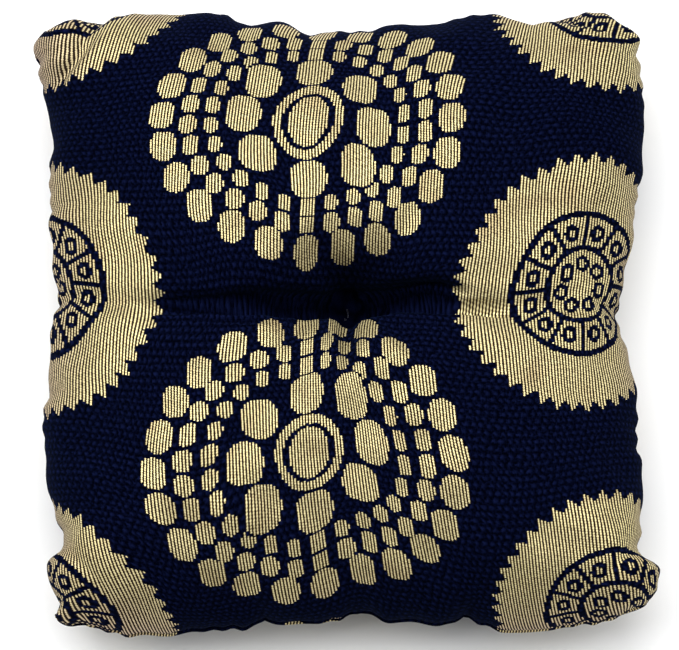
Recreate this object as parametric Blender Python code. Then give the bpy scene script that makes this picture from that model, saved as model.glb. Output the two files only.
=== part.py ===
"""A small square cushion for a singing bowl: two brocade panels sewn together all round,
stuffed, and tufted through the middle. It lies on its back, as one filled solid.

+X runs to the right across the pattern, +Y to the back edge and +Z up. The origin is on the
surface that the cushion lies on, under the middle of its bounding box.

Lengths are in millimetres until the mesh is made. Places in the tables are plan places from
the middle of the cushion, and a share runs from -1 to 1 between opposite seams.
"""

import bmesh
import bpy
import numpy as np

MM = 0.001

# Body: the panels bulge above and below the seam, and the lower one is pressed flat
HALF_WIDTH = 76.0
HALF_LENGTH = 81.0
SEAM_HEIGHT = 19.0
CROWN_RISE = 30.0
BELLY_DROP = 25.0
FLAT_UNDER = 0.5

# Fullness of the bulge: a power of 2 is an ellipse, and more is boxier
CROWN_POWER = 2.2
CORNER_EXTRA_POWER = 4.0
CORNER_GAIN_POWER = 3

# How a corner is rounded, and how fast a seam's unevenness dies away inwards
CORNER_ROUNDING = 0.02
ROUNDING_POWER = 8
UNEVENNESS_POWER = 3

# Tuft: a pit in each face, drawn together by one stitch
PIT_DEPTH = 17.0
PIT_REACH = 25.0
BELLY_PIT_DEPTH = 11.0
BELLY_PIT_REACH = 26.0

# Crease that runs out of the tuft to both sides
CREASE_DEPTH = 9.0
CREASE_FADE = 1.5
CREASE_REACH = 20.0
CREASE_SHARPNESS = 3.0
BELLY_CREASE_DEPTH = 3.0
VALLEY_RADIUS = 1.2

# Share of the dome's height over which the pit and crease fade in from the seam
TOP_FADE_IN = (0.0, 0.33)
BELLY_FADE_IN = (0.33, 0.67)

# Height above the surface over which a pucker fades out, so that the flat part stays flat
PUCKER_CLEARANCE = 6.0

# Mesh: cells from seam to seam, and how much closer they lie at the middle and the seams
CELLS = 44
CROWDING = 0.42
ARC_STEPS = 400

# Where the crease lies: x, y
CREASE_LINE = (
    (-76, 2.5),
    (-44, -0.8),
    (-16, 0.4),
    (0, 3.6),
    (16, 0.2),
    (44, -0.8),
    (76, -0.4),
)

# How far each seam lies outside the nominal rectangle: place along the seam, offset
LEFT_SEAM = (
    (-81, -0.8),
    (-75, -1.0),
    (-67, 0.6),
    (-57, -2.6),
    (-46, 0.3),
    (-30, 1.1),
    (-12, 0.0),
    (4, -1.8),
    (16, -0.4),
    (29, 0.2),
    (40, 1.2),
    (52, 0.7),
    (60, 2.4),
    (68, 4.0),
    (75, 6.0),
    (81, 3.6),
)
RIGHT_SEAM = (
    (-81, -2.5),
    (-77, 1.6),
    (-73, 3.6),
    (-68, 4.2),
    (-62, 0.0),
    (-40, -0.3),
    (-28, -1.2),
    (-10, -2.8),
    (3, -4.2),
    (12, -3.8),
    (26, -1.6),
    (43, 1.5),
    (62, 1.5),
    (70, 0.6),
    (76, 1.8),
    (81, -1.0),
)
BACK_SEAM = (
    (-76, -2.6),
    (-66, -0.6),
    (-40, 1.3),
    (-32, 0.8),
    (-25, -0.9),
    (-17, -1.2),
    (-8, -3.0),
    (6, -3.6),
    (16, -1.3),
    (26, -0.4),
    (40, 0.4),
    (49, -1.0),
    (56, 0.6),
    (66, 1.3),
    (76, -1.6),
)
FRONT_SEAM = (
    (-76, -2.2),
    (-70, -0.9),
    (-54, 1.0),
    (-38, -0.4),
    (-20, -1.4),
    (-12, -1.8),
    (4, -3.2),
    (16, -2.4),
    (30, -1.4),
    (40, -0.2),
    (52, -0.9),
    (66, -1.7),
    (76, -3.6),
)

# Corners that turn up or down into a blunt ear: x, y, lift, reach
EARS = (
    (-75, 78, 4.5, 14.0),
    (73, 79, 2.5, 14.0),
    (-74, -72, -1.0, 12.0),
    (76, -68, 1.5, 12.0),
)

# Puckers that run in from the seam, and folds across a corner of the top panel:
# x and y at the start, heading in degrees, length, half width, depth, whether on the top only
PUCKERS = (
    (-20, -80, 118, 13, 6.5, 2.0, False),
    (4, -78, 88, 12, 8.0, 1.5, False),
    (30, -80, 62, 13, 6.5, 2.2, False),
    (-66, -80, 100, 9, 4.5, 0.8, False),
    (-25, 80, -78, 14, 7.0, 1.3, False),
    (-9, 78, -85, 12, 7.0, 0.7, False),
    (49, 80, -100, 11, 5.5, 1.2, False),
    (-75, -58, 12, 10, 5.5, 1.4, False),
    (-74, -74, 30, 9, 4.5, 1.4, False),
    (-76, 29, -6, 9, 4.5, 0.9, False),
    (76, 70, 205, 10, 4.5, 1.0, False),
    (76, -34, 186, 12, 4.5, 1.0, False),
    (76, -60, 168, 9, 4.5, 0.8, False),
    (-72, 4, 0, 12, 6.0, 0.9, False),
    (72, 2, 180, 12, 6.0, 1.0, False),
    (-61, 83, -121, 28, 6.0, 3.6, True),
    (49, 82, -24, 27, 6.0, 1.6, True),
    (77, -57, -135, 26, 6.0, 1.2, True),
    (-76, -56, -45, 26, 6.0, 1.2, True),
)


def interpolate(place, table):
    """Smooth value between the rows of a table, level at each row."""
    places, values = np.array(table, float).T
    row = np.clip(np.searchsorted(places, place) - 1, 0, len(places) - 2)
    share = np.clip((place - places[row]) / (places[row + 1] - places[row]), 0, 1)
    ease = share * share * (3 - 2 * share)
    return values[row] + (values[row + 1] - values[row]) * ease


def plan_share(cloth_share):
    """How far out in plan a point lies that is this share of the cloth from the middle."""
    angle = np.linspace(0, np.pi / 2, ARC_STEPS)
    across = np.sin(angle) ** (2 / CROWN_POWER)
    rise = np.cos(angle) * CROWN_RISE / HALF_WIDTH
    steps = np.hypot(np.diff(across), np.diff(rise))
    length = np.concatenate([[0], np.cumsum(steps)])
    return np.sign(cloth_share) * np.interp(abs(cloth_share), length / length[-1], across)


def cloth_lines():
    """Shares of the cloth at the mesh's lines, closer together at the middle and the seams."""
    even = np.linspace(-1, 1, CELLS + 1)
    return even - CROWDING * np.sin(2 * np.pi * even) / (2 * np.pi)


def dome(share_x, share_y):
    """Height of a stuffed panel over its seam, from 0 to 1, with full corners."""
    power_x = CROWN_POWER + CORNER_EXTRA_POWER * abs(share_y) ** CORNER_GAIN_POWER
    power_y = CROWN_POWER + CORNER_EXTRA_POWER * abs(share_x) ** CORNER_GAIN_POWER
    full_x = 1 - abs(share_x) ** power_x
    full_y = 1 - abs(share_y) ** power_y
    return np.sqrt(np.clip(full_x * full_y, 0, None))


def plan(share_x, share_y):
    """Plan place of a point of either panel, inside the uneven outline."""
    nominal_x = HALF_WIDTH * share_x
    nominal_y = HALF_LENGTH * share_y
    left = interpolate(nominal_y, LEFT_SEAM)
    right = interpolate(nominal_y, RIGHT_SEAM)
    front = interpolate(nominal_x, FRONT_SEAM)
    back = interpolate(nominal_x, BACK_SEAM)
    rounding = 1 - CORNER_ROUNDING * abs(share_x * share_y) ** ROUNDING_POWER
    x = nominal_x + share_x**UNEVENNESS_POWER * np.where(share_x < 0, left, right)
    y = nominal_y + share_y**UNEVENNESS_POWER * np.where(share_y < 0, front, back)
    y = y + interpolate(nominal_x, CREASE_LINE) * (1 - share_y**2)
    return x * rounding, y * rounding


def pit(x, y, depth, reach):
    """Depth of the round pit at the tuft."""
    middle_y = interpolate(0.0, CREASE_LINE)
    away = np.hypot(np.hypot(x, y - middle_y), VALLEY_RADIUS) - VALLEY_RADIUS
    return depth * np.clip(1 - away / reach, 0, 1) ** 2


def crease(x, y, depth):
    """Depth of the crease beside the tuft, sharp along its line and fading to the sides."""
    fading = np.clip(1 - abs(x) / HALF_WIDTH, 0, 1) ** CREASE_FADE
    off = np.hypot(y - interpolate(x, CREASE_LINE), VALLEY_RADIUS) - VALLEY_RADIUS
    return depth * fading * np.clip(1 - off / CREASE_REACH, 0, 1) ** CREASE_SHARPNESS


def fade_in(full, limits):
    """Rises from 0 to 1 between two shares of the dome's height."""
    start, end = limits
    return np.clip((full - start) / (end - start), 0, 1)


def settle(height):
    """Rests a height on the surface at 0, flat wherever it is hardly above that."""
    return np.where(height > FLAT_UNDER, height, 0)


def ear_lift(x, y):
    """How far the ears raise a point."""
    lift = np.zeros_like(x)
    for ear_x, ear_y, up, reach in EARS:
        lift += up * np.exp(-((x - ear_x) ** 2 + (y - ear_y) ** 2) / reach**2)
    return lift


def panel(share_x, share_y, is_top):
    """Points of one panel before its puckers."""
    full = dome(share_x, share_y)
    x, y = plan(share_x, share_y)
    lift = ear_lift(x, y)
    if is_top:
        drawn_in = pit(x, y, PIT_DEPTH, PIT_REACH) + crease(x, y, CREASE_DEPTH)
        z = SEAM_HEIGHT + lift + CROWN_RISE * full - drawn_in * fade_in(full, TOP_FADE_IN)
    else:
        z = settle(SEAM_HEIGHT + lift - BELLY_DROP * full)
        drawn_in = pit(x, y, BELLY_PIT_DEPTH, BELLY_PIT_REACH) + crease(x, y, BELLY_CREASE_DEPTH)
        z = z + drawn_in * fade_in(full, BELLY_FADE_IN)
    return np.stack([x, y, z], axis=-1)


def pucker_depths(points, on_top):
    """How far in each point is drawn by the puckers."""
    depths = np.zeros(len(points))
    clear_of_floor = np.where(on_top, 1, np.clip(points[:, 2] / PUCKER_CLEARANCE, 0, 1))
    for start_x, start_y, heading, length, half_width, depth, top_only in PUCKERS:
        along_x, along_y = np.cos(np.radians(heading)), np.sin(np.radians(heading))
        away_x, away_y = points[:, 0] - start_x, points[:, 1] - start_y
        run = (away_x * along_x + away_y * along_y) / length
        off = abs(away_y * along_x - away_x * along_y) / half_width
        valley = np.clip(1 - off, 0, 1) ** 2
        if top_only:
            fading = np.clip(4 * run * (1 - run), 0, 1) * on_top
        else:
            fading = np.clip(1 - run, 0, 1)
        depths += depth * valley * fading * clear_of_floor
    return depths


def triangles(i, j):
    """A cell's two triangles, cut along the diagonal that points to the nearest corner."""
    a, b, c, d = (i, j), (i + 1, j), (i + 1, j + 1), (i, j + 1)
    if (i < CELLS / 2) != (j < CELLS / 2):
        a, b, c, d = b, c, d, a
    return (a, b, c), (a, c, d)


def cushion_mesh():
    """The closed mesh: a top panel and a bottom panel that share the seam's points."""
    shares = plan_share(cloth_lines())
    share_x, share_y = np.meshgrid(shares, shares, indexing="ij")
    mesh = bmesh.new()
    top = {}
    bottom = {}
    for verts, is_top in ((top, True), (bottom, False)):
        points = panel(share_x, share_y, is_top)
        for place in np.ndindex(share_x.shape):
            on_seam = 0 in place or CELLS in place
            verts[place] = top[place] if on_seam and not is_top else mesh.verts.new(points[place])
        for cell in np.ndindex(CELLS, CELLS):
            for corners in triangles(*cell):
                face = [verts[corner] for corner in corners]
                mesh.faces.new(face if is_top else face[::-1])
    mesh.normal_update()
    draw_in_puckers(mesh, set(top.values()))
    return mesh


def draw_in_puckers(mesh, top_verts):
    """Moves each point in along its normal, into the puckers that cross it, and centres all."""
    verts = list(mesh.verts)
    points = np.array([vert.co for vert in verts])
    normals = np.array([vert.normal for vert in verts])
    on_top = np.array([vert in top_verts for vert in verts])
    moved = points - normals * pucker_depths(points, on_top)[:, None]
    low, high = moved.min(axis=0), moved.max(axis=0)
    origin = np.array([(low[0] + high[0]) / 2, (low[1] + high[1]) / 2, low[2]])
    for vert, place in zip(verts, (moved - origin) * MM):
        vert.co = place


def brocade():
    """Navy ground cloth, the colour that shows most."""
    material = bpy.data.materials.new("brocade")
    material.use_nodes = True
    surface = material.node_tree.nodes["Principled BSDF"]
    surface.inputs["Base Color"].default_value = (0.012, 0.016, 0.055, 1)
    surface.inputs["Roughness"].default_value = 0.8
    surface.inputs["Metallic"].default_value = 0.0
    return material


def main():
    for old in list(bpy.data.objects):
        bpy.data.objects.remove(old)
    mesh = cushion_mesh()
    data = bpy.data.meshes.new("cushion")
    mesh.to_mesh(data)
    mesh.free()
    data.shade_smooth()
    data.materials.append(brocade())
    bpy.context.scene.collection.objects.link(bpy.data.objects.new("cushion", data))


main()
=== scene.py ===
import math

import bpy
import numpy as np
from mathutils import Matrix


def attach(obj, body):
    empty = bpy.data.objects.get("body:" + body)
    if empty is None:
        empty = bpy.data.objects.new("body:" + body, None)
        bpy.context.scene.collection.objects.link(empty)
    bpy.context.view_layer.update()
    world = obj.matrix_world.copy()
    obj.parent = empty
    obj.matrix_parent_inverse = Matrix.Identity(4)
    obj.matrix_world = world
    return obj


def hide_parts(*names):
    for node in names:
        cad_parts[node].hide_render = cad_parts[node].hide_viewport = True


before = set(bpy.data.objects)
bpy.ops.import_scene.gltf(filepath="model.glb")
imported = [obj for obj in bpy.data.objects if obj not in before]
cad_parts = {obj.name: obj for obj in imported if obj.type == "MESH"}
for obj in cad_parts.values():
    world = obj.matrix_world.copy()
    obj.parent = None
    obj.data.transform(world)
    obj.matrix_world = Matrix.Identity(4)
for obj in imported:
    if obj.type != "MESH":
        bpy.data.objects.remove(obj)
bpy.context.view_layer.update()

# The cushion's cover in its brocade, its tuft stitches, the floor, the lights and the camera.
# Lengths are in millimetres until a mesh is made. A share runs from -1 to 1 between seams.

MM = 0.001

# Body: the same sizes as the solid's
HALF_WIDTH = 76.0
HALF_LENGTH = 81.0
SEAM_HEIGHT = 19.0
CROWN_RISE = 30.0
BELLY_DROP = 25.0
FLOOR_BLEND = 2.5
CROWN_POWER = 2.2
CORNER_EXTRA_POWER = 4.0
CORNER_GAIN_POWER = 3
CORNER_ROUNDING = 0.02
ROUNDING_POWER = 8
UNEVENNESS_POWER = 3
PIT_DEPTH = 17.0
PIT_REACH = 25.0
BELLY_PIT_DEPTH = 11.0
BELLY_PIT_REACH = 26.0
CREASE_DEPTH = 9.0
CREASE_FADE = 1.5
CREASE_REACH = 20.0
CREASE_SHARPNESS = 3.0
BELLY_CREASE_DEPTH = 3.0
VALLEY_RADIUS = 0.6
TOP_FADE_IN = (0.0, 0.33)
BELLY_FADE_IN = (0.33, 0.67)
PUCKER_CLEARANCE = 6.0

# Mesh: cells from seam to seam, and how much closer they lie at the middle and the seams
CELLS = 216
CROWDING = 0.42
ARC_STEPS = 400
INSIDE = (slice(1, -1), slice(1, -1))

# Where the crease lies: x, y
CREASE_LINE = (
    (-76, 2.5),
    (-44, -0.8),
    (-16, 0.4),
    (0, 3.6),
    (16, 0.2),
    (44, -0.8),
    (76, -0.4),
)

# How far each seam lies outside the nominal rectangle: place along the seam, offset
LEFT_SEAM = (
    (-81, -0.8),
    (-75, -1.0),
    (-67, 0.6),
    (-57, -2.6),
    (-46, 0.3),
    (-30, 1.1),
    (-12, 0.0),
    (4, -1.8),
    (16, -0.4),
    (29, 0.2),
    (40, 1.2),
    (52, 0.7),
    (60, 2.4),
    (68, 4.0),
    (75, 6.0),
    (81, 3.6),
)
RIGHT_SEAM = (
    (-81, -2.5),
    (-77, 1.6),
    (-73, 3.6),
    (-68, 4.2),
    (-62, 0.0),
    (-40, -0.3),
    (-28, -1.2),
    (-10, -2.8),
    (3, -4.2),
    (12, -3.8),
    (26, -1.6),
    (43, 1.5),
    (62, 1.5),
    (70, 0.6),
    (76, 1.8),
    (81, -1.0),
)
BACK_SEAM = (
    (-76, -2.6),
    (-66, -0.6),
    (-40, 1.3),
    (-32, 0.8),
    (-25, -0.9),
    (-17, -1.2),
    (-8, -3.0),
    (6, -3.6),
    (16, -1.3),
    (26, -0.4),
    (40, 0.4),
    (49, -1.0),
    (56, 0.6),
    (66, 1.3),
    (76, -1.6),
)
FRONT_SEAM = (
    (-76, -2.2),
    (-70, -0.9),
    (-54, 1.0),
    (-38, -0.4),
    (-20, -1.4),
    (-12, -1.8),
    (4, -3.2),
    (16, -2.4),
    (30, -1.4),
    (40, -0.2),
    (52, -0.9),
    (66, -1.7),
    (76, -3.6),
)

# Corners that turn up or down into a blunt ear: x, y, lift, reach
EARS = (
    (-75, 78, 4.5, 14.0),
    (73, 79, 2.5, 14.0),
    (-74, -72, -1.0, 12.0),
    (76, -68, 1.5, 12.0),
)

# Puckers that run in from the seam, and folds across a corner of the top panel:
# x and y at the start, heading in degrees, length, half width, depth, whether on the top only
PUCKERS = (
    (-20, -80, 118, 13, 6.5, 2.0, False),
    (4, -78, 88, 12, 8.0, 1.5, False),
    (30, -80, 62, 13, 6.5, 2.2, False),
    (-66, -80, 100, 9, 4.5, 0.8, False),
    (-25, 80, -78, 14, 7.0, 1.3, False),
    (-9, 78, -85, 12, 7.0, 0.7, False),
    (49, 80, -100, 11, 5.5, 1.2, False),
    (-75, -58, 12, 10, 5.5, 1.4, False),
    (-74, -74, 30, 9, 4.5, 1.4, False),
    (-76, 29, -6, 9, 4.5, 0.9, False),
    (76, 70, 205, 10, 4.5, 1.0, False),
    (76, -34, 186, 12, 4.5, 1.0, False),
    (76, -60, 168, 9, 4.5, 0.8, False),
    (-72, 4, 0, 12, 6.0, 0.9, False),
    (72, 2, 180, 12, 6.0, 1.0, False),
    (-61, 83, -121, 28, 6.0, 3.6, True),
    (49, 82, -24, 27, 6.0, 1.6, True),
    (77, -57, -135, 26, 6.0, 1.2, True),
    (-76, -56, -45, 26, 6.0, 1.2, True),
)

# Finer creases of the cover: x and y at the start, heading in degrees, length, half width on the
# left and on the right of the heading, depth
CREASES = (
    (-50, -1.2, -2, 46, 5.0, 1.8, 4.6),
    (-32, -2.2, 2, 44, 6.5, 2.0, 5.0),
    (-16, -1.6, 2, 46, 7.5, 2.2, 8.5),
    (10, -1.2, -3, 34, 3.2, 1.6, 3.6),
    (8, 3.4, -4, 24, 2.6, 2.0, 2.8),
    (-36, -5.4, -1, 18, 2.4, 1.2, 1.2),
    (0.5, 1, -91, 21, 4.2, 3.4, 3.0),
    (-8, -2, -128, 17, 3.4, 3.4, 1.3),
    (8, -2, -52, 19, 3.6, 3.6, 1.2),
    (-5, 8, 117, 20, 4.0, 4.0, 1.2),
    (9, 8, 62, 20, 4.0, 4.0, 1.1),
    (-62, 75, -128, 21, 2.4, 2.4, 2.4),
)
INNER_PIT_DEPTH = 3.0
INNER_PIT_REACH = 11.0

# Settling of the stuffed cover as cloth: lines of the mesh to a step, scale that it is worked out
# at, reach of the tuft's hold and of the surface's, slack, pressure, frames, span and cap of the
# moves that are kept, and the cloth's own settings
SETTLE_STEP = 4
SETTLE_SCALE = 10
SETTLE_TUFT = 24.0
SETTLE_FLOOR = 1.0
SETTLE_SLACK = 0.04
SETTLE_PRESSURE = 0.3
SETTLE_FRAMES = 20
SETTLE_SPAN = 2.5
SETTLE_CAP = 0.9
SETTLE_QUALITY = 6
SETTLE_MASS = 0.3
SETTLE_STRETCH = 30
SETTLE_SHEAR = 10
SETTLE_BENDING = 1.0

# Tuft stitches: where they lie, and each strand's heading, offset and half length
TUFT_X = 1.5
TUFT_Y = 0.5
TUFT_SEARCH = 5.0
TUFT_STRANDS = (
    (12, -0.5, 3.6),
    (24, 0.4, 3.2),
    (98, 0.0, 3.4),
    (146, 0.3, 2.8),
)
STRAND_RADIUS = 0.32
STRAND_RISE = 0.9
STRAND_SAG = 0.9
STRAND_STEPS = 12
STRAND_SIDES = 8
TWIST_PITCH = 0.0007

# Seam: its groove, and the small puckers that its stitches draw in
GROOVE_DEPTH = 1.5
GROOVE_REACH = 1.2
STITCH_DEPTH = 0.55
STITCH_REACH = 6.0
STITCH_PITCH = 7.3
STITCH_DRIFT = 31.0
STITCH_SWAY = 2.2
STITCH_CHANGE = 0.3

# Loose stuffing: wavelengths across and along, and depth of the waves that it leaves
LUMPS = (
    (31, 47, 0.28),
    (-23, 29, 0.22),
    (17, -37, 0.18),
    (41, 13, 0.16),
    (11, 19, 0.08),
)
LUMP_PHASE = 0.09

# Bake map: the margin round each panel's part, and where the top's part ends
SHEET_MARGIN = 0.005
SHEET_SPLIT = 0.6

# Camera: the place that it looks at, its height over the horizon, and the picture's width there
CAMERA_TARGET = (-0.9, -2.25, 25.0)
CAMERA_ELEVATION = 77.0
CAMERA_DISTANCE = 1200.0
PICTURE_WIDTH = 173.8
SENSOR_WIDTH = 36.0
CLIP_START = 50.0
CLIP_END = 10000.0

# Studio, in metres and watts: half the floor's width, and each light's name, place, size, power
FLOOR_HALF_WIDTH = 2.5
FLOOR_COLOR = (0.9, 0.9, 0.9, 1)
FLOOR_ROUGHNESS = 0.9
WORLD_COLOR = (0.95, 0.97, 1.0, 1)
WORLD_STRENGTH = 0.30
LIGHTS = (
    ("back", (-0.15, 0.6, 1.3), 1.6, 26.0),
    ("left", (-1.0, 0.2, 0.9), 1.0, 10.0),
    ("right", (1.0, 0.1, 0.9), 1.0, 9.5),
)

# Pitches of the gold threads, the picks, the beats along a thread, and the ground's weave
THREAD_PITCH = 0.78
PICK_PITCH = 0.40
BEAT_PITCH = 0.62
BEAT_STAGGER = 0.33
WEAVE_PITCH_X = 0.43
WEAVE_PITCH_Y = 0.40

# Share of the pitch that a gold strand covers, and how far beats and flecks change it
STRAND_SHARE = 0.41
STRAND_BEAT = 0.24
STRAND_FLECK = 0.50
STRAND_SHARPNESS = 5
STRAND_ROUNDNESS = 1.6

# Spots of the navy ground: pitch, lean, wander, flatness, falloff, and parts of its brightness
SPOT_PITCH = 1.7
SPOT_LEAN = 0.12
SPOT_WANDER = 0.7
SPOT_FLATNESS = 0.9
SPOT_FALLOFF = 2.6
GROUND_SPOT = 0.7
GROUND_WEAVE = 0.10
GROUND_FLECK = 0.9
FLECK_LEVEL = 0.45

# Noise over the cloth: scale per millimetre, detail
FLECKS = (1.5, 2.0)
CASTS = (0.07, 3.0)
DRIFTS = (0.25, 1.0)

# Colours of the cloth, each from dark to light where there are two
NAVY = ((0.0000, 0.0002, 0.0020, 1), (0.0042, 0.0072, 0.035, 1))
GAP = ((0.004, 0.003, 0.003, 1), (0.035, 0.020, 0.012, 1))
METAL = ((0.46, 0.36, 0.15, 1), (0.92, 0.82, 0.46, 1))
METAL_BEAT = 0.3
METAL_FLECK = 0.7
WARM_METAL = (0.46, 0.35, 0.18, 1)
WARM_LEVEL = 0.55
WARM_GAIN = 3.0

# Painted shade: gold made duller and browner near the seams, standing in for the sides that slope
# away at a grazing angle: where it starts, its reach, flecks and strength
SHADED_EDGE_METAL = (0.50, 0.38, 0.27, 1)
SHADED_EDGE_X = 66.0
SHADED_EDGE_Y = 74.0
SHADED_EDGE_REACH = 22.0
SHADED_EDGE_FLECK = 0.6
SHADED_EDGE_GAIN = 1.1

# Gloss and relief of the cloth. The bump's distance is in metres
GOLD_METALLIC = 0.5
GOLD_ROUGHNESS = 0.50
GROUND_ROUGHNESS = 0.95
SPECULAR = 0.01
SHEEN = 0.015
SHEEN_ROUGHNESS = 0.45
SHEEN_TINT = (0.2, 0.4, 1.0, 1)
STRAND_RELIEF = 0.8
BEAT_RELIEF = 0.2
SPOT_RELIEF = 0.85
WEAVE_RELIEF = 0.15
GROUND_RELIEF = 0.35
BUMP_DISTANCE = 0.00012
BUMP_STRENGTH = 0.6

# Sewing thread: its colours, roughness and bump distance in metres
THREAD_NAVY = ((0.001, 0.001, 0.004, 1), (0.010, 0.013, 0.035, 1))
THREAD_ROUGHNESS = 0.7
PLY_GLOSS = 0.2
PLY_BUMP = 0.00008

# Repeat of the brocade's pattern, and the place of its first sun disc's column
COLUMN_SPACING = 70.7
ROW_SPACING = 85.9
PATTERN_X = -11.2
PATTERN_Y = 1.3

# Medallion: how flat its rings lie, how square its dots are, its eye, and its two stems
MEDALLION_FLATNESS = 0.912
DOT_POWER = 2.5
EYE_SIZE = (8.8, 9.3)
EYE_RIM = 0.76
PUPIL_SIZE = (5.2, 6.3)
STEM_HALF_WIDTH = 2.1
STEM_HALF_LENGTH = 4.7
STEM_MIDDLE = 24.9
STEM_SPLIT = 25.2
STEM_SPLIT_HALF_WIDTH = 0.3
STEM_CLEARANCE = 3.0

# Large dots of one half of the medallion: x, y
LARGE_DOTS = (
    (0.0, 14.8),
    (12.5, -11.6),
    (16.4, -1.5),
    (12.3, 9.2),
)
LARGE_DOT_SIZE = (4.65, 5.05)
LARGE_DOT_CLEARANCE = 1.3

# Rings of dots in the medallion: number, radius, half width and half height of a dot
FIRST_RING = (26, 24.6, 1.85, 2.25)
SECOND_RING = (30, 30.4, 2.25, 2.55)
OUTER_RING = (24, 37.2, 3.4, 3.9)

# Sun disc: its flatness, teeth and dark rings, and the lines between the cells of its band
DISC_FLATNESS = 1.03
TEETH = 48
TOOTH_ROOT = 29.0
TOOTH_LENGTH = 2.8
RING_RADIUS = 17.2
RING_HALF_WIDTH = 0.75
INNER_RING_RADIUS = 9.0
INNER_RING_HALF_WIDTH = 0.65
DISC_CELLS = 12
CELL_LINE_HALF_WIDTH = 0.55
CELL_LINE_END = 17.5

# Oval outlines in the disc's cells and in its middle: number, turn of the first one in steps,
# radius, half width and half height of an oval, and the share of it that is open
CELL_EYES = (12, 0.5, 13.2, 1.9, 2.2, 0.45)
BUDS = (7, 0.0, 5.3, 1.9, 2.1, 0.5)

# How far the underside's pattern lies off the top's
UNDERSIDE_Y = 9.0

# How the cloth leans to one side towards the back and front, spreads at the sides, and bows
LEAN_BACK = 11.0
LEAN_FRONT = 8.9
SIDE_SPREAD = 8.6
BOW = 6.4
LEAN_REACH = 90.0

# Places where the cloth lies off its straight run: x and y on the cloth, shift in x and y
CLOTH_SHIFTS = (
    (-10, 11, 1.5, 0.5),
    (-24, 17, 0.5, 3.5),
    (-43, 34, -1.0, 4.5),
    (-46, 54, -1.0, 4.5),
    (-37, 71, -2.0, 5.0),
    (-17, 77, -3.0, 0.0),
    (3, 72, -2.0, -4.5),
    (20, 70, -3.0, 2.5),
    (27, 54, -3.0, 4.0),
    (24, 33, -0.5, 2.0),
    (4, 12, 0.5, -1.5),
    (2, 30, 1.5, -3.0),
    (-10, 45, -1.0, 1.0),
    (-22, 55, -2.0, 3.0),
    (-19, -9, 2.0, -1.0),
    (-40, -22, 0.0, -2.5),
    (-48, -44, -1.0, -4.5),
    (-36, -68, -1.0, -5.5),
    (-13, -76, -0.5, -1.5),
    (10, -70, 0.5, 3.0),
    (26, -52, 0.0, 0.5),
    (24, -28, -1.5, 2.5),
    (12, -14, -3.0, 3.5),
    (-9, -42, 0.0, 0.0),
    (-46, 3, 5.5, 0.0),
    (-58, 28, 3.0, 2.5),
    (-74, 36, 0.0, 0.0),
    (-58, -23, 3.5, -3.5),
    (-74, -28, 1.5, -4.5),
    (-64, 2, 4.0, -0.5),
    (28, 0, -1.5, 0.0),
    (43, 31, -1.0, 2.0),
    (63, 40, 0.0, 4.5),
    (45, -22, 0.5, 1.0),
    (64, 24, 0.0, 2.5),
    (62, -12, 0.0, 1.5),
    (-47, 74, 1.0, -0.5),
    (-58, 63, 1.5, -2.0),
    (-72, 57, 1.0, -4.0),
    (46, 67, 1.0, 1.0),
    (60, 73, -1.5, -2.0),
    (75, 59, 0.0, -1.5),
    (-78, -53, -1.0, -4.0),
    (-63, -60, -2.0, -2.5),
    (-70, -70, -2.0, -2.0),
    (-56, -80, 2.5, 0.0),
    (74, -46, 0.5, 3.0),
    (42, -62, 1.0, -1.0),
    (38, -76, 2.0, -0.5),
    (35, 16, 1.0, -0.5),
    (51, -75, -1.0, 0.5),
    (63, -50, 0.0, 0.5),
    (-22, -32, 1.0, 1.0),
    (8, 44, -1.0, 0.5),
    (74, 24, 1.0, 2.5),
    (74, -8, -2.0, 2.0),
)
SHIFT_REACH = 12.0
STRAIGHT_SHARE = 0.1


def interpolate(place, table):
    """Smooth value between the rows of a table, level at each row."""
    places, values = np.array(table, float).T
    row = np.clip(np.searchsorted(places, place) - 1, 0, len(places) - 2)
    share = np.clip((place - places[row]) / (places[row + 1] - places[row]), 0, 1)
    ease = share * share * (3 - 2 * share)
    return values[row] + (values[row + 1] - values[row]) * ease


def plan_share(cloth_share):
    """How far out in plan a point lies that is this share of the cloth from the middle."""
    angle = np.linspace(0, np.pi / 2, ARC_STEPS)
    across = np.sin(angle) ** (2 / CROWN_POWER)
    rise = np.cos(angle) * CROWN_RISE / HALF_WIDTH
    steps = np.hypot(np.diff(across), np.diff(rise))
    run = np.concatenate([[0], np.cumsum(steps)])
    return np.sign(cloth_share) * np.interp(abs(cloth_share), run / run[-1], across)


def cloth_lines():
    """Shares of the cloth at the mesh's lines, closer together at the middle and the seams."""
    even = np.linspace(-1, 1, CELLS + 1)
    return even - CROWDING * np.sin(2 * np.pi * even) / (2 * np.pi)


def dome(share_x, share_y):
    """Height of a stuffed panel over its seam, from 0 to 1, with full corners."""
    power_x = CROWN_POWER + CORNER_EXTRA_POWER * abs(share_y) ** CORNER_GAIN_POWER
    power_y = CROWN_POWER + CORNER_EXTRA_POWER * abs(share_x) ** CORNER_GAIN_POWER
    full_x = 1 - abs(share_x) ** power_x
    full_y = 1 - abs(share_y) ** power_y
    return np.sqrt(np.clip(full_x * full_y, 0, None))


def plan(share_x, share_y):
    """Plan place of a point of either panel, inside the uneven outline."""
    nominal_x = HALF_WIDTH * share_x
    nominal_y = HALF_LENGTH * share_y
    left = interpolate(nominal_y, LEFT_SEAM)
    right = interpolate(nominal_y, RIGHT_SEAM)
    front = interpolate(nominal_x, FRONT_SEAM)
    back = interpolate(nominal_x, BACK_SEAM)
    rounding = 1 - CORNER_ROUNDING * abs(share_x * share_y) ** ROUNDING_POWER
    x = nominal_x + share_x**UNEVENNESS_POWER * np.where(share_x < 0, left, right)
    y = nominal_y + share_y**UNEVENNESS_POWER * np.where(share_y < 0, front, back)
    y = y + interpolate(nominal_x, CREASE_LINE) * (1 - share_y**2)
    return x * rounding, y * rounding


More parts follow.
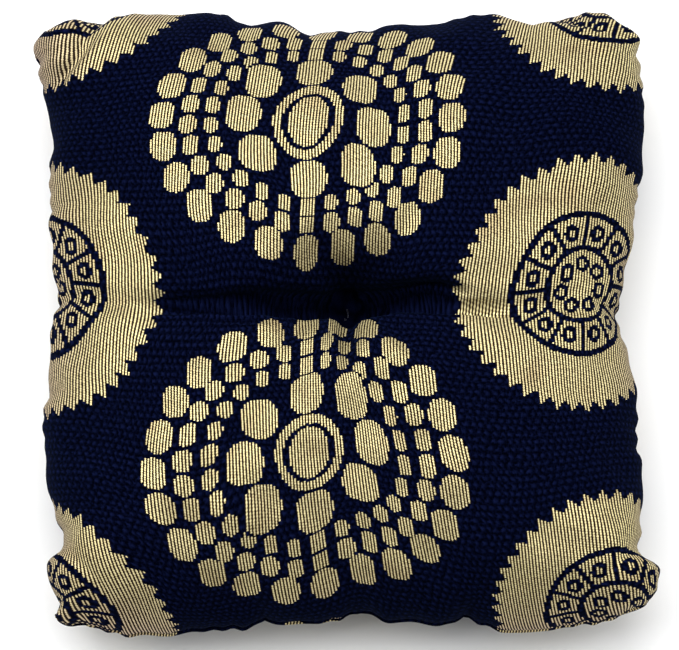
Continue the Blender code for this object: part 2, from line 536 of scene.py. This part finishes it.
def pit(x, y, depth, reach):
    """Depth of the round pit at the tuft."""
    middle_y = interpolate(0.0, CREASE_LINE)
    away = np.hypot(np.hypot(x, y - middle_y), VALLEY_RADIUS) - VALLEY_RADIUS
    return depth * np.clip(1 - away / reach, 0, 1) ** 2


def crease(x, y, depth):
    """Depth of the crease beside the tuft, sharp along its line and fading to the sides."""
    fading = np.clip(1 - abs(x) / HALF_WIDTH, 0, 1) ** CREASE_FADE
    off = np.hypot(y - interpolate(x, CREASE_LINE), VALLEY_RADIUS) - VALLEY_RADIUS
    return depth * fading * np.clip(1 - off / CREASE_REACH, 0, 1) ** CREASE_SHARPNESS


def fade_in(full, limits):
    """Rises from 0 to 1 between two shares of the dome's height."""
    start, end = limits
    return np.clip((full - start) / (end - start), 0, 1)


def settle(height):
    """Rests a height on the surface at 0, with a soft turn into the flat part."""
    turning = (height + FLOOR_BLEND) ** 2 / (4 * FLOOR_BLEND)
    return np.where(height > FLOOR_BLEND, height, np.where(height < -FLOOR_BLEND, 0, turning))


def ear_lift(x, y):
    """How far the ears raise a point."""
    lift = np.zeros_like(x)
    for ear_x, ear_y, up, reach in EARS:
        lift += up * np.exp(-((x - ear_x) ** 2 + (y - ear_y) ** 2) / reach**2)
    return lift


def bulge(share_x, share_y, is_top):
    """Points of one panel without its pit and crease."""
    full = dome(share_x, share_y)
    x, y = plan(share_x, share_y)
    rise = CROWN_RISE if is_top else -BELLY_DROP
    return np.stack([x, y, SEAM_HEIGHT + ear_lift(x, y) + rise * full], axis=-1)


def panel(share_x, share_y, is_top):
    """Points of one panel before its puckers."""
    full = dome(share_x, share_y)
    x, y = plan(share_x, share_y)
    lift = ear_lift(x, y)
    if is_top:
        drawn_in = pit(x, y, PIT_DEPTH, PIT_REACH) + crease(x, y, CREASE_DEPTH)
        z = SEAM_HEIGHT + lift + CROWN_RISE * full - drawn_in * fade_in(full, TOP_FADE_IN)
    else:
        z = settle(SEAM_HEIGHT + lift - BELLY_DROP * full)
        drawn_in = pit(x, y, BELLY_PIT_DEPTH, BELLY_PIT_REACH) + crease(x, y, BELLY_CREASE_DEPTH)
        z = z + drawn_in * fade_in(full, BELLY_FADE_IN)
    return np.stack([x, y, z], axis=-1)


def pucker_depths(points, on_top):
    """How far in each point is drawn by the puckers."""
    depths = np.zeros(len(points))
    clear_of_floor = np.where(on_top, 1, np.clip(points[:, 2] / PUCKER_CLEARANCE, 0, 1))
    for start_x, start_y, heading, length, half_width, depth, top_only in PUCKERS:
        along_x, along_y = np.cos(np.radians(heading)), np.sin(np.radians(heading))
        away_x, away_y = points[:, 0] - start_x, points[:, 1] - start_y
        run = (away_x * along_x + away_y * along_y) / length
        off = abs(away_y * along_x - away_x * along_y) / half_width
        valley = np.clip(1 - off, 0, 1) ** 2
        if top_only:
            fading = np.clip(4 * run * (1 - run), 0, 1) * on_top
        else:
            fading = np.clip(1 - run, 0, 1)
        depths += depth * valley * fading * clear_of_floor
    return depths


def crease_depths(points, on_top):
    """How far in each point of the top is drawn by the finer creases and the inner pit."""
    x, y = points[:, 0], points[:, 1]
    away = np.hypot(x, y - interpolate(0.0, CREASE_LINE))
    depths = INNER_PIT_DEPTH * np.clip(1 - away / INNER_PIT_REACH, 0, 1) ** 2
    for start_x, start_y, heading, length, left, right, depth in CREASES:
        along_x, along_y = np.cos(np.radians(heading)), np.sin(np.radians(heading))
        run = ((x - start_x) * along_x + (y - start_y) * along_y) / length
        side = (y - start_y) * along_x - (x - start_x) * along_y
        near = np.clip(1 - abs(side) / np.where(side > 0, left, right), 0, 1)
        depths += depth * near**2 * (3 - 2 * near) * np.clip(4 * run * (1 - run), 0, 1)
    return depths * on_top


def surface_depths(points, seam_distance, seam_place):
    """How far in each point is drawn by the seam, its puckers and the lumps of stuffing."""
    depths = GROOVE_DEPTH * np.exp(-((seam_distance / GROOVE_REACH) ** 2))
    drift = np.sin(2 * np.pi * seam_place / STITCH_DRIFT)
    pucker = np.sin(2 * np.pi * seam_place / STITCH_PITCH + STITCH_SWAY * drift)
    pucker = pucker * (1 - STITCH_CHANGE + STITCH_CHANGE * drift)
    depths += STITCH_DEPTH * pucker * np.exp(-seam_distance / STITCH_REACH)
    for across, along, depth in LUMPS:
        wave = 2 * np.pi * (points[:, 0] / across + points[:, 1] / along)
        depths += depth * np.sin(wave + LUMP_PHASE * across * along)
    return depths


def cloth_length(points, axis):
    """Length of cloth along a line of the mesh, counted from its middle."""
    steps = np.linalg.norm(np.diff(points, axis=axis), axis=2)
    start = np.zeros_like(np.take(steps, [0], axis))
    run = np.concatenate([start, np.cumsum(steps, axis)], axis)
    return run - np.take(run, [CELLS // 2], axis)


def local_shift(x, y):
    """How far the cloth lies off its straight run, from the rows of CLOTH_SHIFTS near by."""
    total = np.full_like(x, STRAIGHT_SHARE)
    sum_x, sum_y = np.zeros_like(x), np.zeros_like(x)
    for middle_x, middle_y, across, along in CLOTH_SHIFTS:
        near = np.exp(-((x - middle_x) ** 2 + (y - middle_y) ** 2) / SHIFT_REACH**2)
        total += near
        sum_x += across * near
        sum_y += along * near
    return sum_x / total, sum_y / total


def cloth_place(share_x, share_y, is_top):
    """Where on the flat cloth each point of a panel lies."""
    surface = bulge(share_x, share_y, is_top)
    x = cloth_length(surface, 0)
    y = cloth_length(surface, 1)
    lean = np.where(y > 0, LEAN_BACK, LEAN_FRONT) * (y / LEAN_REACH) ** 2
    spread = SIDE_SPREAD * (x / LEAN_REACH) ** 3
    bow = BOW * (x / LEAN_REACH) ** 2
    shift_x, shift_y = local_shift(x, y)
    flat_x, flat_y = x - (lean + spread + shift_x), y - (bow + shift_y)
    return flat_x, flat_y if is_top else flat_y + UNDERSIDE_Y


def seam_measures(share_x, share_y):
    """Distance from the seam over the cloth, and the place along it, of a panel's points."""
    surface = bulge(share_x, share_y, True)
    across = cloth_length(surface, 0)
    along = cloth_length(surface, 1)
    off_x = abs(np.where(share_x < 0, across[:1], across[-1:])) - abs(across)
    off_y = abs(np.where(share_y < 0, along[:, :1], along[:, -1:])) - abs(along)
    return np.minimum(off_x, off_y), np.where(off_x < off_y, along, across)


def sheet_place(lines, low, high):
    """Place of a panel's points in the bake map, between two heights of it."""
    across, along = np.meshgrid((lines + 1) / 2, (lines + 1) / 2, indexing="ij")
    across = SHEET_MARGIN + (1 - 2 * SHEET_MARGIN) * across
    along = low + SHEET_MARGIN + (high - low - 2 * SHEET_MARGIN) * along
    return across, along


def panel_indices():
    """Numbers of both panels' points. The panels share the points of the seam."""
    side = CELLS + 1
    top_index = np.arange(side * side).reshape(side, side)
    bottom_index = top_index.copy()
    inner = np.arange((CELLS - 1) ** 2).reshape(CELLS - 1, CELLS - 1)
    bottom_index[INSIDE] = side * side + inner
    return top_index, bottom_index


def faces_and_maps(lines, share_x, share_y, indices):
    """Faces of both panels, and their corners' places on the cloth and in the bake map."""
    faces, cloth, sheet = [], [], []
    parts = ((True, 0.0, SHEET_SPLIT), (False, SHEET_SPLIT, 1.0))
    for index, (is_top, low, high) in zip(indices, parts):
        ring = ((0, 0), (1, 0), (1, 1), (0, 1)) if is_top else ((0, 0), (0, 1), (1, 1), (1, 0))
        cuts = [(slice(a, CELLS + a), slice(b, CELLS + b)) for a, b in ring]
        faces.append(np.stack([index[cut] for cut in cuts], axis=-1).reshape(-1, 4))
        for maps, (u, v) in (
            (cloth, cloth_place(share_x, share_y, is_top)),
            (sheet, sheet_place(lines, low, high)),
        ):
            corners = np.stack([np.stack([u[cut], v[cut]], axis=-1) for cut in cuts], axis=2)
            maps.append(corners.reshape(-1, 2))
    return np.concatenate(faces), np.concatenate(cloth), np.concatenate(sheet)


def vertex_normals(data):
    """A mesh's normals, a row for each point."""
    normals = np.zeros(len(data.vertices) * 3)
    data.vertex_normals.foreach_get("vector", normals)
    return normals.reshape(-1, 3)


def drawn_in(data, points, indices, distance, place):
    """Points of the cover with its puckers, creases, seam and lumps, and settled as cloth."""
    on_top = np.arange(len(points)) < indices[0].size
    fine = surface_depths(points, distance, place) * np.clip(points[:, 2] / PUCKER_CLEARANCE, 0, 1)
    depths = pucker_depths(points, on_top) + crease_depths(points, on_top) + fine
    moved = points - vertex_normals(data) * depths[:, None]
    settled = settled_moves(moved, indices)
    data.vertices.foreach_set("co", moved.ravel())
    data.update()
    moved = moved + vertex_normals(data) * settled[:, None]
    moved[:, 2] = np.maximum(moved[:, 2], 0)
    low, high = moved.min(axis=0), moved.max(axis=0)
    return moved - np.array([(low[0] + high[0]) / 2, (low[1] + high[1]) / 2, low[2]])


def cover_mesh():
    """The closed cover, and the heights of its top pit's and its bottom pit's ends."""
    lines = cloth_lines()
    shares = plan_share(lines)
    share_x, share_y = np.meshgrid(shares, shares, indexing="ij")
    indices = panel_indices()
    faces, cloth, sheet = faces_and_maps(lines, share_x, share_y, indices)
    top = panel(share_x, share_y, True).reshape(-1, 3)
    bottom = panel(share_x, share_y, False)[INSIDE].reshape(-1, 3)
    points = np.concatenate([top, bottom])
    distance, place = (
        np.concatenate([measure.ravel(), measure[INSIDE].ravel()])
        for measure in seam_measures(share_x, share_y)
    )
    data = bpy.data.meshes.new("cushion_cover")
    data.from_pydata(points.tolist(), [], faces.tolist())
    points = drawn_in(data, points, indices, distance, place)
    data.vertices.foreach_set("co", (points * MM).ravel())
    for name, corners in (("cloth", cloth), ("OFBake", sheet)):
        layer = data.uv_layers.new(name=name)
        layer.uv.foreach_set("vector", corners.ravel())
    data.uv_layers.active = data.uv_layers["OFBake"]
    data.shade_smooth()
    data.update()
    near = np.hypot(points[:, 0] - TUFT_X, points[:, 1] - TUFT_Y) < TUFT_SEARCH
    on_top = np.arange(len(points)) < len(top)
    top_low = points[near & on_top][:, 2].min()
    bottom_high = points[near & ~on_top][:, 2].max()
    return data, top_low, bottom_high


def coarse_faces(grids):
    """Faces of the two coarse panels, outside facing out."""
    faces = []
    for grid, order in zip(grids, (1, -1)):
        ring = (grid[:-1, :-1], grid[1:, :-1], grid[1:, 1:], grid[:-1, 1:])
        faces.append(np.stack(ring[::order], axis=-1).reshape(-1, 4))
    return np.concatenate(faces)


def let_go(body):
    """Places of a body's points in metres, after it has moved as stuffed cloth."""
    cloth = body.modifiers.new("settling", "CLOTH")
    settings = cloth.settings
    settings.quality = SETTLE_QUALITY
    settings.mass = SETTLE_MASS
    settings.tension_stiffness = SETTLE_STRETCH
    settings.compression_stiffness = SETTLE_STRETCH
    settings.shear_stiffness = SETTLE_SHEAR
    settings.bending_stiffness = SETTLE_BENDING
    settings.shrink_min = -SETTLE_SLACK
    settings.use_pressure = True
    settings.uniform_pressure_force = SETTLE_PRESSURE
    settings.vertex_group_mass = "held"
    settings.effector_weights.gravity = 0
    cloth.point_cache.frame_end = SETTLE_FRAMES
    scene = bpy.context.scene
    for frame_number in range(1, SETTLE_FRAMES + 1):
        scene.frame_set(frame_number)
    shaped = body.evaluated_get(bpy.context.evaluated_depsgraph_get()).to_mesh()
    places = np.zeros(len(shaped.vertices) * 3)
    shaped.vertices.foreach_get("co", places)
    scene.frame_set(1)
    return places.reshape(-1, 3)


def settled_moves(points, indices):
    """How far a stuffed cloth of the same shape moves along its normals when it is let go."""
    coarse = slice(None, None, SETTLE_STEP)
    grids = [index[coarse, coarse] for index in indices]
    every = np.concatenate([grid.ravel() for grid in grids])
    kept, numbers = np.unique(every, return_inverse=True)
    numbers = numbers.reshape(2, *grids[0].shape)
    data = bpy.data.meshes.new("settling")
    start = points[kept] * MM * SETTLE_SCALE
    data.from_pydata(start.tolist(), [], coarse_faces(numbers).tolist())
    normals = vertex_normals(data)
    body = bpy.data.objects.new("settling", data)
    bpy.context.scene.collection.objects.link(body)
    held = body.vertex_groups.new(name="held")
    pulled_in = np.hypot(points[kept, 0], points[kept, 1]) < SETTLE_TUFT
    fixed = pulled_in | (points[kept, 2] < SETTLE_FLOOR)
    for number in np.flatnonzero(fixed).tolist():
        held.add([number], 1.0, "REPLACE")
    moves = ((let_go(body) - start) * normals).sum(axis=1) / (MM * SETTLE_SCALE)
    moves = np.where(fixed, 0, moves - np.median(moves[~fixed]))
    moves = SETTLE_CAP * np.tanh(moves / SETTLE_SPAN)
    bpy.data.objects.remove(body)
    bpy.data.meshes.remove(data)
    fine = np.zeros(len(points))
    counts = np.arange(CELLS + 1)
    for number, index in zip(numbers, indices):
        rows = np.stack([np.interp(counts, counts[coarse], row) for row in moves[number]])
        columns = [np.interp(counts, counts[coarse], column) for column in rows.T]
        fine[index] = np.stack(columns, axis=1)
    return fine


def stitch_mesh(name, middle, up):
    """Strands of thread that cross over the bottom of a tuft's pit."""
    points, faces = [], []
    for turn, offset, reach in TUFT_STRANDS:
        heading = math.radians(turn)
        along = np.array([math.cos(heading), math.sin(heading), 0])
        across = np.array([-math.sin(heading), math.cos(heading), 0])
        start = len(points)
        for step in range(STRAND_STEPS + 1):
            share = 2 * step / STRAND_STEPS - 1
            rise = np.array([0, 0, up * (STRAND_RISE - STRAND_SAG * share * share)])
            centre = middle + along * reach * share + across * offset + rise
            for corner in range(STRAND_SIDES):
                angle = 2 * math.pi * corner / STRAND_SIDES
                ring = across * math.cos(angle) + np.array([0, 0, 1]) * math.sin(angle)
                points.append(tuple((centre + ring * STRAND_RADIUS) * MM))
        for step in range(STRAND_STEPS):
            for corner in range(STRAND_SIDES):
                here = start + step * STRAND_SIDES + corner
                after = start + step * STRAND_SIDES + (corner + 1) % STRAND_SIDES
                faces.append((here, after, after + STRAND_SIDES, here + STRAND_SIDES))
        faces.append(tuple(start + corner for corner in range(STRAND_SIDES)))
        last = start + STRAND_STEPS * STRAND_SIDES
        faces.append(tuple(last + corner for corner in reversed(range(STRAND_SIDES))))
    data = bpy.data.meshes.new(name)
    data.from_pydata(points, [], faces)
    data.shade_smooth()
    data.update()
    return data


class Term:
    """A value in a material's nodes, with arithmetic that adds nodes."""

    def __init__(self, tree, socket):
        self.tree = tree
        self.socket = socket

    def op(self, operation, *others, clamp=False):
        node = self.tree.nodes.new("ShaderNodeMath")
        node.operation = operation
        node.use_clamp = clamp
        for place, value in zip(node.inputs, (self, *others)):
            if isinstance(value, Term):
                self.tree.links.new(value.socket, place)
            else:
                place.default_value = value
        return Term(self.tree, node.outputs[0])

    def __add__(self, other):
        return self.op("ADD", other)

    def __sub__(self, other):
        return self.op("SUBTRACT", other)

    def __mul__(self, other):
        return self.op("MULTIPLY", other)

    def __truediv__(self, other):
        return self.op("DIVIDE", other)

    def __abs__(self):
        return self.op("ABSOLUTE")

    def under(self, limit):
        return self.op("LESS_THAN", limit)

    def over(self, limit):
        return self.op("GREATER_THAN", limit)

    def most(self, other):
        return self.op("MAXIMUM", other)

    def inverse(self):
        return self * -1 + 1


def hypotenuse(x, y):
    return (x * x + y * y).op("SQRT")


def oval(x, y, half_width, half_height, power=2.0):
    """1 on the edge of an oval, and less inside it. A higher power makes it squarer."""
    if power == 2.0:
        return hypotenuse(x / half_width, y / half_height)
    return abs(x / half_width).op("POWER", power) + abs(y / half_height).op("POWER", power)


def dot_ring(x, y, angle, count, radius, half_width, half_height):
    """A ring of oval dots. The angle is in turns from straight up."""
    heading = (angle * count).op("ROUND") * (2 * math.pi / count)
    dot_x = heading.op("SINE") * radius
    dot_y = heading.op("COSINE") * radius * MEDALLION_FLATNESS
    return oval(x - dot_x, y - dot_y, half_width, half_height, DOT_POWER).under(1.0)


def outline_ring(x, y, angle, count, turn, radius, half_width, half_height, open_share):
    """A ring of oval outlines. The angle is in turns, and the first oval's turn in steps."""
    heading = ((angle * count - turn).op("ROUND") + turn) * (2 * math.pi / count)
    mark_x = heading.op("SINE") * radius
    mark_y = heading.op("COSINE") * radius
    mark = oval(x - mark_x, y - mark_y, half_width, half_height)
    return mark.under(1.0) * mark.over(open_share)


def medallion(x, y):
    """Gold of the medallion: an eye, eight large dots, two stems and three rings of dots."""
    angle = (x * MEDALLION_FLATNESS).op("ARCTAN2", y) / (2 * math.pi)
    eye = oval(x, y, *EYE_SIZE)
    gold = eye.under(1.0) * eye.over(EYE_RIM) + oval(x, y, *PUPIL_SIZE).under(1.0)
    clear = abs(x).over(STEM_CLEARANCE)
    for dot_x, dot_y in LARGE_DOTS:
        for half_turn in (1, -1):
            dot = oval(x - dot_x * half_turn, y - dot_y * half_turn, *LARGE_DOT_SIZE, DOT_POWER)
            gold = gold.most(dot.under(1.0))
            clear = clear * dot.over(LARGE_DOT_CLEARANCE)
    stem = abs(x).under(STEM_HALF_WIDTH) * abs(abs(y) - STEM_MIDDLE).under(STEM_HALF_LENGTH)
    stem = stem * abs(abs(y) - STEM_SPLIT).over(STEM_SPLIT_HALF_WIDTH)
    small = dot_ring(x, y, angle, *FIRST_RING).most(dot_ring(x, y, angle, *SECOND_RING))
    outer = dot_ring(x, y, angle, *OUTER_RING)
    return gold.most(stem).most(small * clear).most(outer)


def sun_disc(x, y):
    """Gold of the sun disc: saw teeth round it, and rings of cells in dark lines."""
    angle = x.op("ARCTAN2", y) / (2 * math.pi)
    away = hypotenuse(x, y / DISC_FLATNESS)
    tooth = abs((angle * TEETH).op("FRACT") - 0.5) * 2
    body = away.under(tooth * TOOTH_LENGTH + TOOTH_ROOT)
    ring = abs(away - RING_RADIUS).under(RING_HALF_WIDTH)
    inner_ring = abs(away - INNER_RING_RADIUS).under(INNER_RING_HALF_WIDTH)
    cell = (angle * DISC_CELLS).op("FRACT")
    off_line = abs(cell - cell.op("ROUND")) * (2 * math.pi / DISC_CELLS) * away
    line = off_line.under(CELL_LINE_HALF_WIDTH) * away.over(INNER_RING_RADIUS)
    line = line * away.under(CELL_LINE_END)
    eyes = outline_ring(x, y, angle, *CELL_EYES)
    buds = outline_ring(x, y, angle, *BUDS)
    dark = ring.most(inner_ring).most(line).most(eyes).most(buds)
    return body * dark.inverse()


def pattern(x, y):
    """Gold of the whole pattern: columns of medallions, with sun discs between them."""
    rows = y.op("PINGPONG", ROW_SPACING)
    wide = COLUMN_SPACING * 2
    medallion_x = (x + COLUMN_SPACING).op("FLOORED_MODULO", wide) - COLUMN_SPACING
    disc_x = x.op("FLOORED_MODULO", wide) - COLUMN_SPACING
    disc_y = (y + ROW_SPACING / 2).op("FLOORED_MODULO", ROW_SPACING) - ROW_SPACING / 2
    return medallion(medallion_x, rows - ROW_SPACING / 2).most(sun_disc(disc_x, disc_y))


def ground_spots(tree, cloth, u, v, fleck):
    """Soft spots in rows over the navy ground, each row half a step on from the last."""
    drift = noise(tree, cloth, *DRIFTS)
    row = (v / SPOT_PITCH).op("FLOOR")
    across = (u + v * SPOT_LEAN) / SPOT_PITCH + row * 0.5 + drift + fleck * SPOT_WANDER
    spot_u = across.op("FRACT") - 0.5
    spot_v = (v / SPOT_PITCH).op("FRACT") - 0.5
    return (hypotenuse(spot_u, spot_v * SPOT_FLATNESS) * -SPOT_FALLOFF + 1.0).most(0.0)


def brocade():
    """Navy cloth with raised gold threads, woven into medallions and sun discs."""
    material = bpy.data.materials.new("brocade")
    material.use_nodes = True
    tree = material.node_tree
    surface = tree.nodes["Principled BSDF"]
    uv_map = tree.nodes.new("ShaderNodeUVMap")
    uv_map.uv_map = "cloth"
    cloth = uv_map.outputs["UV"]
    split = tree.nodes.new("ShaderNodeSeparateXYZ")
    tree.links.new(cloth, split.inputs[0])
    u = Term(tree, split.outputs["X"])
    v = Term(tree, split.outputs["Y"])
    strand = (u / THREAD_PITCH).op("FLOOR")
    pick = (v / PICK_PITCH).op("FLOOR")
    gold = pattern(
        (strand + 0.5) * THREAD_PITCH - PATTERN_X,
        (pick + 0.5) * PICK_PITCH - PATTERN_Y,
    )

    across = abs((u / THREAD_PITCH).op("FRACT") - 0.5) * 2
    fleck = noise(tree, cloth, *FLECKS)
    cast = noise(tree, cloth, *CASTS)
    beat = ((v / BEAT_PITCH + strand * BEAT_STAGGER) * (2 * math.pi)).op("SINE") * 0.5 + 0.5
    width = (beat - 0.5) * STRAND_BEAT + (fleck - 0.5) * STRAND_FLECK + STRAND_SHARE
    covered = ((width - across) * STRAND_SHARPNESS + 0.5).op("MULTIPLY", 1.0, clamp=True)
    on_strand = gold * covered
    round_strand = (across * across * -STRAND_ROUNDNESS + 1).most(0.0)

    spot = ground_spots(tree, cloth, u, v, fleck)
    warp = (u / WEAVE_PITCH_X * math.pi).op("SINE")
    weft = (v / WEAVE_PITCH_Y * math.pi).op("SINE")
    weave = abs(warp * weft)
    ground = spot * GROUND_SPOT + weave * GROUND_WEAVE + (fleck - FLECK_LEVEL) * GROUND_FLECK

    under = mix_color(tree, gold, mix_color(tree, ground, *NAVY), mix_color(tree, fleck, *GAP))
    metal = mix_color(tree, beat * METAL_BEAT + fleck * METAL_FLECK, *METAL)
    warm = mix_color(tree, (cast - WARM_LEVEL) * WARM_GAIN, metal, WARM_METAL)
    # Painted shade: towards the seams the gold is mixed to a duller brown, standing in for the
    # sloping sides seen at a grazing angle
    past_start = (abs(u) - SHADED_EDGE_X).most(abs(v) - SHADED_EDGE_Y)
    edge_shade = past_start / SHADED_EDGE_REACH + (fleck - 0.5) * SHADED_EDGE_FLECK
    edge_shaded = mix_color(tree, edge_shade * SHADED_EDGE_GAIN, warm, SHADED_EDGE_METAL)
    tree.links.new(mix_color(tree, on_strand, under, edge_shaded), surface.inputs["Base Color"])
    roughness = on_strand * (GOLD_ROUGHNESS - GROUND_ROUGHNESS) + GROUND_ROUGHNESS
    tree.links.new((on_strand * GOLD_METALLIC).socket, surface.inputs["Metallic"])
    tree.links.new(roughness.socket, surface.inputs["Roughness"])
    raised = gold * (round_strand * STRAND_RELIEF + beat * BEAT_RELIEF)
    low = (spot * SPOT_RELIEF + weave * WEAVE_RELIEF) * GROUND_RELIEF
    bump = add_bump(tree, raised.most(low), surface, BUMP_DISTANCE)
    bump.inputs["Strength"].default_value = BUMP_STRENGTH
    surface.inputs["Specular IOR Level"].default_value = SPECULAR
    surface.inputs["Sheen Weight"].default_value = SHEEN
    surface.inputs["Sheen Roughness"].default_value = SHEEN_ROUGHNESS
    surface.inputs["Sheen Tint"].default_value = SHEEN_TINT
    return material


def noise(tree, vector, scale, detail):
    """Soft random values over the cloth."""
    node = tree.nodes.new("ShaderNodeTexNoise")
    node.noise_dimensions = "2D"
    node.inputs["Scale"].default_value = scale
    node.inputs["Detail"].default_value = detail
    tree.links.new(vector, node.inputs["Vector"])
    return Term(tree, node.outputs["Fac"])


def mix_color(tree, share, first, second):
    """Colour between two, each a colour or a socket."""
    node = tree.nodes.new("ShaderNodeMix")
    node.data_type = "RGBA"
    node.clamp_factor = True
    tree.links.new(share.socket, node.inputs[0])
    for place, value in ((node.inputs[6], first), (node.inputs[7], second)):
        if isinstance(value, tuple):
            place.default_value = value
        else:
            tree.links.new(value, place)
    return node.outputs[2]


def add_bump(tree, height, surface, distance):
    """Gives a surface the relief of a height. The distance is in metres."""
    bump = tree.nodes.new("ShaderNodeBump")
    bump.inputs["Distance"].default_value = distance
    tree.links.new(height.socket, bump.inputs["Height"])
    tree.links.new(bump.outputs["Normal"], surface.inputs["Normal"])
    return bump


def sewing_thread():
    """Dark navy sewing thread, twisted."""
    material = bpy.data.materials.new("thread")
    material.use_nodes = True
    tree = material.node_tree
    surface = tree.nodes["Principled BSDF"]
    place = tree.nodes.new("ShaderNodeTexCoord")
    split = tree.nodes.new("ShaderNodeSeparateXYZ")
    tree.links.new(place.outputs["Object"], split.inputs[0])
    x, y, z = (Term(tree, split.outputs[axis]) for axis in "XYZ")
    ply = ((x + y + z * 2) * (2 * math.pi / TWIST_PITCH)).op("SINE") * 0.5 + 0.5
    tree.links.new(mix_color(tree, ply, *THREAD_NAVY), surface.inputs["Base Color"])
    tree.links.new((ply * -PLY_GLOSS + THREAD_ROUGHNESS).socket, surface.inputs["Roughness"])
    add_bump(tree, ply, surface, PLY_BUMP)
    return material


def place_piece(name, data, material):
    """Adds a piece that rides the root body and is shown in place of the solid."""
    piece = bpy.data.objects.new(name, data)
    data.materials.append(material)
    bpy.context.scene.collection.objects.link(piece)
    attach(piece, "root")
    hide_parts("cushion")
    return piece


def cushion():
    """The cover, and a stitch at the end of each pit."""
    data, top_low, bottom_high = cover_mesh()
    cover = place_piece("cushion_cover", data, brocade())
    sewing = sewing_thread()
    for name, height, up in (
        ("tuft_stitch_top", top_low, 1),
        ("tuft_stitch_bottom", bottom_high, -1),
    ):
        middle = np.array([TUFT_X, TUFT_Y, height])
        place_piece(name, stitch_mesh(name, middle, up), sewing)


def add_floor(scene):
    """Pale floor at height 0."""
    data = bpy.data.meshes.new("floor")
    turns = ((-1, -1), (1, -1), (1, 1), (-1, 1))
    corners = [(across * FLOOR_HALF_WIDTH, along * FLOOR_HALF_WIDTH, 0) for across, along in turns]
    data.from_pydata(corners, [], [(0, 1, 2, 3)])
    floor = bpy.data.objects.new("floor", data)
    paper = bpy.data.materials.new("floor")
    paper.use_nodes = True
    surface = paper.node_tree.nodes["Principled BSDF"]
    surface.inputs["Base Color"].default_value = FLOOR_COLOR
    surface.inputs["Roughness"].default_value = FLOOR_ROUGHNESS
    data.materials.append(paper)
    scene.collection.objects.link(floor)


def add_lights(scene):
    """Soft area lights that face the cushion, and a dim sky."""
    world = bpy.data.worlds.new("studio")
    world.use_nodes = True
    background = world.node_tree.nodes["Background"]
    background.inputs["Color"].default_value = WORLD_COLOR
    background.inputs["Strength"].default_value = WORLD_STRENGTH
    scene.world = world
    for name, place, size, power in LIGHTS:
        light = bpy.data.lights.new(name, "AREA")
        light.size = size
        light.energy = power
        lamp = bpy.data.objects.new(name, light)
        lamp.location = place
        aim = -lamp.location
        lamp.rotation_euler = aim.to_track_quat("-Z", "Y").to_euler()
        scene.collection.objects.link(lamp)


def add_camera(scene):
    """The photo's camera."""
    tilt = math.radians(CAMERA_ELEVATION)
    data = bpy.data.cameras.new("camera")
    data.sensor_width = SENSOR_WIDTH
    data.lens = SENSOR_WIDTH * CAMERA_DISTANCE / PICTURE_WIDTH
    data.clip_start = CLIP_START * MM
    data.clip_end = CLIP_END * MM
    camera = bpy.data.objects.new("camera", data)
    target_x, target_y, target_z = CAMERA_TARGET
    camera.location = (
        target_x * MM,
        (target_y - CAMERA_DISTANCE * math.cos(tilt)) * MM,
        (target_z + CAMERA_DISTANCE * math.sin(tilt)) * MM,
    )
    camera.rotation_euler = (math.pi / 2 - tilt, 0, 0)
    scene.collection.objects.link(camera)
    scene.camera = camera


def studio():
    """Pale floor, soft lights and the camera."""
    scene = bpy.context.scene
    add_floor(scene)
    add_lights(scene)
    add_camera(scene)
    scene.view_settings.view_transform = "Standard"


cushion()
studio()
bpy.context.view_layer.update()
